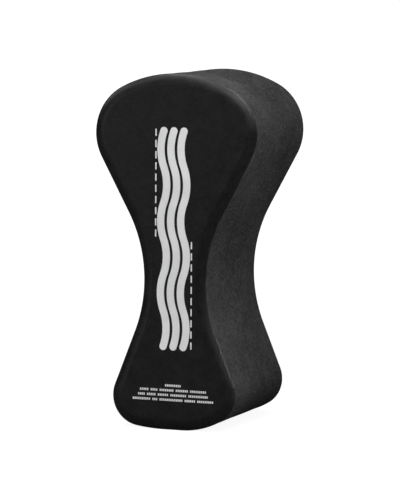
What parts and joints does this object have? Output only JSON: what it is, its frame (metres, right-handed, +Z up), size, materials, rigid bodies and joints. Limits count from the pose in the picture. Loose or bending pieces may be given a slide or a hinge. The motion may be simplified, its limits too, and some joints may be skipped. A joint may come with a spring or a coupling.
{
  "type": "pull buoy",
  "caption": "Hourglass swim float of black closed-cell foam with smooth rolled-rim faces, a cut side wall and a wave print up its front.",
  "frame": {"origin": "middle of the foot, the flat end of the smaller lobe, half way between the two faces", "axes": "+Z up the length to the large end, +Y from the printed front face to the plain rear face, +X to the right when looking at the front face"},
  "size_m": [0.116, 0.0981, 0.24],
  "materials": {
    "cut_foam": "matte cut closed-cell foam",
    "skin_foam": "smooth satin moulded foam skin",
    "print_film": "matte transfer film"
  },
  "bodies": {
    "root": {"core_block": "cut_foam", "front_face_sheet": "skin_foam", "back_face_sheet": "skin_foam", "front_graphic": "print_film", "print_row_1": "print_film", "print_row_2": "print_film", "print_row_3": "print_film", "print_row_4": "print_film"}
  },
  "joints": []
}
